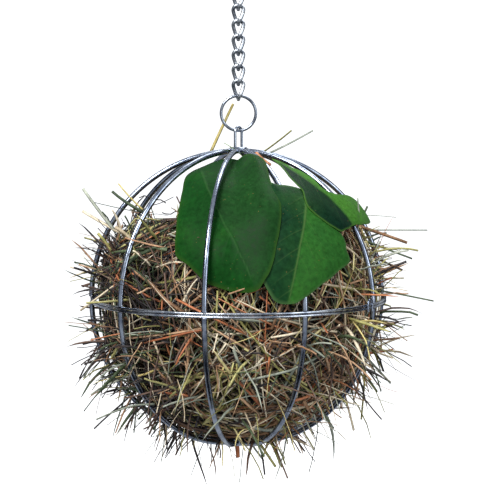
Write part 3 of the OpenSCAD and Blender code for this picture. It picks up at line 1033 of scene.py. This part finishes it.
def makeLeafMesh(name, shape):
    outline = closedSpline(shape["outline"], leafForm["around"])
    local = np.random.default_rng(shape["seed"])
    around = np.arange(len(outline)) / len(outline) * 2 * math.pi
    ripple = sum(
        local.normal() * leafForm["ripple"] * np.sin(around * turns + local.uniform(0, fullTurn))
        for turns in leafForm["rippleTurns"]
    )
    middle = np.array(shape["middle"], float)
    outward = unit(outline - middle)
    outline = outline + outward * ripple[:, None]
    t = 1 - (1 - np.linspace(0, 1, leafForm["rings"] + 1)) ** leafForm["ringEase"]
    flat = middle + (outline - middle)[None] * t[1:, None, None]
    flat = np.concatenate([[middle], flat.reshape(-1, 2)])
    share = np.concatenate([[0], np.repeat(t[1:], leafForm["around"])])
    main, small, distance, side = veinField(flat, shape)
    upTurns, acrossTurns = leafForm["waveTurns"]
    swing = np.sin(flat[:, 1] * upTurns + shape["seed"])
    swing = swing * np.sin(flat[:, 0] * acrossTurns + leafForm["waveShift"] * shape["seed"])
    rise = shape["wave"] * mm * (swing - 1) * 0.5
    trough = np.exp(-((distance / leafForm["troughWidth"]) ** 2))
    depth = leafForm["foldDepth"] if shape["cup"] < 0 else leafForm["cupDepth"]
    rise += -abs(shape["cup"]) * mm * trough * depth
    rise += -leafForm["rimDrop"] * mm * share ** leafForm["rimPower"]
    top = rise + leafForm["veinRise"] * main + leafForm["sideVeinRise"] * small
    under = rise - leafForm["thick"] - leafForm["underVein"] * leafForm["veinRise"] * main
    # Flat distances become arcs on the ball round the leaf's middle
    normal = onBall(shape["azimuth"], shape["elevation"], 1.0)
    a = math.radians(shape["azimuth"])
    right = np.array([math.cos(a), math.sin(a), 0])
    up = np.cross(right, normal)
    up = up if up[2] > 0 else -up
    far = np.maximum(np.linalg.norm(flat, axis=1), 1e-6)
    arc = far / leafForm["ball"]
    heading = (flat[:, :1] * right + flat[:, 1:] * up) / far[:, None]
    ray = np.cos(arc)[:, None] * normal + np.sin(arc)[:, None] * heading
    n = len(flat)
    base = leafRadius(ray, shape["radius"]) * mm
    points = np.concatenate([ray * (base + top)[:, None], ray * (base + under)[:, None]])
    k = leafForm["around"]
    grid = 1 + np.arange(leafForm["rings"] * k).reshape(leafForm["rings"], k)
    nxt = np.roll(grid, -1, 1)
    quad = np.stack([grid[:-1], grid[1:], nxt[1:], nxt[:-1]], -1).reshape(-1, 4)
    fan = np.stack([np.zeros(k, int), grid[0], nxt[0]], -1)
    rim = np.stack([grid[-1], grid[-1] + n, nxt[-1] + n, nxt[-1]], -1)
    faces = [
        np.concatenate([quad, quad[:, ::-1] + n, rim]),
        np.concatenate([fan, fan[:, ::-1] + n]),
    ]
    # half tells the two sides of the midrib apart, for their painted light and shade
    attributes = {
        "vein": np.tile(np.maximum(main, leafForm["sideVeinShare"] * small), 2),
        "rim": np.tile(share, 2),
        "half": np.tile(0.5 - side * np.clip(distance / leafForm["halfBlend"], 0, 1) * 0.5, 2),
    }
    made = meshObject(name, points + ballCentre, faces, attributes)
    if facesInward(made, normal):
        made.data.flip_normals()
    return made


def facesInward(made, normal):
    face = made.data.polygons[len(made.data.polygons) // 4]
    return Vector(face.normal).dot(Vector(normal)) < 0


# left and right colour the two sides of the midrib: painted light and shade
leafTones = dict(
    deepLeaf=dict(
        share=0.55, dark=(0.003, 0.022, 0.005), mid=(0.004, 0.036, 0.006),
        pale=(0.012, 0.058, 0.008),
        vein=(0.022, 0.074, 0.018), rim=(0.022, 0.060, 0.008),
        left=(0.003, 0.040, 0.004), right=(0.008, 0.037, 0.008),
    ),
    shadeLeaf=dict(
        share=0.62, dark=(0.004, 0.028, 0.010), mid=(0.010, 0.056, 0.010),
        pale=(0.024, 0.090, 0.014),
        vein=(0.070, 0.125, 0.035), rim=(0.050, 0.110, 0.035),
        left=(0.003, 0.016, 0.009), right=(0.020, 0.096, 0.013),
    ),
    limeLeaf=dict(
        share=0.84, dark=(0.003, 0.020, 0.008), mid=(0.010, 0.048, 0.009),
        pale=(0.028, 0.09, 0.012),
        vein=(0.040, 0.110, 0.020), rim=(0.050, 0.13, 0.018),
        left=(0.002, 0.014, 0.008), right=(0.040, 0.140, 0.016),
    ),
)
leafGrain = dict(
    cloud=(42, 4, 0.55), cloudStops=(0.33, 0.5, 0.7), mottle=(420, 5, 0.65), speck=(900, 2, 0.5),
    mottleTone=(0.70, 1.32, 0.3, 0.7), edge=(0.0, 0.75, 0.94, 1.0), spots=(0.0, 0.8, 0.72, 0.78),
    spotColour=(0.16, 0.10, 0.03), vein=(0.0, 0.5, 0.3, 1.0), litShadeStops=(0.3, 0.7),
    roughness=(0.34, 0.56, 0.3, 0.7), specular=0.035, bump=(0.35, 0.0003),
)


def makeLeafTone(name):
    tone = leafTones[name]
    material, nodes, links, shader = newMaterial(name)
    cloud = noiseNode(nodes, links, *leafGrain["cloud"])
    mottle = noiseNode(nodes, links, *leafGrain["mottle"])
    speck = noiseNode(nodes, links, *leafGrain["speck"])
    tones = (tone["dark"], tone["mid"], tone["pale"])
    base = rampNode(nodes, links, cloud, list(zip(leafGrain["cloudStops"], tones)))
    # Painted light and shade: one side of the midrib gets a lit tone, the other a shaded tone
    half = attributeNode(nodes, "half")
    sides = list(zip(leafGrain["litShadeStops"], (tone["left"], tone["right"])))
    litAndShadedHalves = rampNode(nodes, links, half, sides)
    colour = mixNode(nodes, links, tone["share"], base, litAndShadedHalves)
    fine = nodes.new("ShaderNodeHueSaturation")
    links.new(rangeNode(nodes, links, mottle, *leafGrain["mottleTone"]), fine.inputs["Value"])
    links.new(colour, fine.inputs["Color"])
    colour = fine.outputs["Color"]
    edge = rangeNode(nodes, links, attributeNode(nodes, "rim"), *leafGrain["edge"])
    colour = mixNode(nodes, links, edge, colour, tone["rim"])
    spots = rangeNode(nodes, links, speck, *leafGrain["spots"])
    colour = mixNode(nodes, links, spots, colour, leafGrain["spotColour"])
    vein = rangeNode(nodes, links, attributeNode(nodes, "vein"), *leafGrain["vein"])
    colour = mixNode(nodes, links, vein, colour, tone["vein"])
    links.new(colour, shader.inputs["Base Color"])
    gloss = rangeNode(nodes, links, mottle, *leafGrain["roughness"])
    links.new(gloss, shader.inputs["Roughness"])
    shader.inputs["Specular IOR Level"].default_value = leafGrain["specular"]
    bumpNode(nodes, links, mottle, shader, *leafGrain["bump"])
    return material


def makeLeaves():
    for name, shape in leafShapes.items():
        made = makeLeafMesh(name, shape)
        paint(made, makeLeafTone(shape["tone"]))
        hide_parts(shape["replaces"])
        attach(made, "upper_half")


makeLeaves()
print("leaves laid")

# Paper floor and wall
studio = dict(
    floorDrop=0.22, floorRadius=2.6, wallRadius=3.4, wallHeight=3.2, curveSteps=14, sides=96,
    paper=(0.93, 0.935, 0.94), paperRoughness=0.95,
    paperGlow=0.62, sky=(0.93, 0.96, 1.0), skyStrength=0.62,
)


def makeBackdrop():
    # One round sheet of paper: a flat floor that curves up into a wall
    profile = [(0.0, 0.0), (studio["floorRadius"], 0.0)]
    sweep = studio["wallRadius"] - studio["floorRadius"]
    for a in np.linspace(0, math.pi / 2, studio["curveSteps"])[1:]:
        profile.append((studio["floorRadius"] + sweep * math.sin(a), sweep * (1 - math.cos(a))))
    profile.append((studio["wallRadius"], studio["wallHeight"]))
    sides = studio["sides"]
    base = cadBox[0][2] - studio["floorDrop"]
    points = [(0, 0, base)]
    for radius, height in profile[1:]:
        for j in range(sides):
            a = j / sides * 2 * math.pi
            points.append((radius * math.cos(a), radius * math.sin(a), base + height))
    grid = 1 + np.arange((len(profile) - 1) * sides).reshape(-1, sides)
    nxt = np.roll(grid, -1, 1)
    quad = np.stack([grid[:-1], grid[1:], nxt[1:], nxt[:-1]], -1).reshape(-1, 4)
    fan = np.stack([np.zeros(sides, int), grid[0], nxt[0]], -1)
    backdrop = meshObject("backdrop", np.array(points), [quad, fan])
    material, nodes, links, shader = newMaterial("paper")
    shader.inputs["Base Color"].default_value = (*studio["paper"], 1)
    shader.inputs["Roughness"].default_value = studio["paperRoughness"]
    shader.inputs["Specular IOR Level"].default_value = 0.0
    shader.inputs["Emission Color"].default_value = (*studio["paper"], 1)
    shader.inputs["Emission Strength"].default_value = studio["paperGlow"]
    paint(backdrop, material)
    backdrop.visible_shadow = False
    backdrop.visible_diffuse = False
    backdrop.visible_glossy = False


# Soft lights, and black cards that only the plated wire mirrors
lamps = dict(
    keyLight=dict(
        azimuth=-32, elevation=42, distance=1.1, size=(0.45, 0.45), power=15,
        colour=(1, 0.985, 0.96),
    ),
    fillLight=dict(
        azimuth=48, elevation=18, distance=1.2, size=(0.5, 0.9), power=5.5, colour=(0.95, 0.98, 1),
    ),
    topLight=dict(
        azimuth=150, elevation=68, distance=1.1, size=(0.6, 0.6), power=7, colour=(1, 1, 1),
    ),
)
cards = dict(
    flagLeft=dict(azimuth=-95, elevation=5, distance=1.0, size=(0.9, 1.8)),
    flagRight=dict(azimuth=100, elevation=5, distance=1.0, size=(0.9, 1.8)),
    flagLow=dict(azimuth=0, elevation=-55, distance=1.0, size=(2.2, 0.9)),
    flagBack=dict(azimuth=180, elevation=-10, distance=1.0, size=(1.2, 1.0)),
)
cardColour = (0.012, 0.014, 0.02)


def makeLight(name, azimuth, elevation, distance, size, power, colour):
    data = bpy.data.lights.new(name, "AREA")
    data.shape = "RECTANGLE"
    data.size, data.size_y = size
    data.energy = power
    data.color = colour
    light = bpy.data.objects.new(name, data)
    bpy.context.scene.collection.objects.link(light)
    place = Vector(ballCentre + onBall(azimuth, elevation, distance))
    light.location = place
    light.rotation_euler = (place - Vector(ballCentre)).to_track_quat("Z", "Y").to_euler()


def makeFlag(name, azimuth, elevation, distance, size):
    # The cards give the wire its dark sides
    w, h = size[0] / 2, size[1] / 2
    points = np.array([(-w, -h, 0), (w, -h, 0), (w, h, 0), (-w, h, 0)])
    card = meshObject(name, points, [np.array([[0, 1, 2, 3]])])
    place = Vector(ballCentre + onBall(azimuth, elevation, distance))
    card.matrix_world = Matrix.Translation(place) @ (
        (place - Vector(ballCentre)).to_track_quat("Z", "Y").to_matrix().to_4x4()
    )
    material, nodes, links, shader = newMaterial(name + "Card")
    shader.inputs["Base Color"].default_value = (*cardColour, 1)
    shader.inputs["Roughness"].default_value = 1
    shader.inputs["Specular IOR Level"].default_value = 0.0
    paint(card, material)
    card.visible_camera = False
    card.visible_diffuse = False
    card.visible_shadow = False


def makeStudio():
    world = bpy.data.worlds.new("studioSky")
    bpy.context.scene.world = world
    world.use_nodes = True
    background = world.node_tree.nodes["Background"]
    background.inputs["Color"].default_value = (*studio["sky"], 1)
    background.inputs["Strength"].default_value = studio["skyStrength"]
    makeBackdrop()
    for name, lamp in lamps.items():
        makeLight(name, **lamp)
    for name, card in cards.items():
        makeFlag(name, **card)


makeStudio()
bpy.context.scene.view_settings.view_transform = "Standard"
print("studio lit")
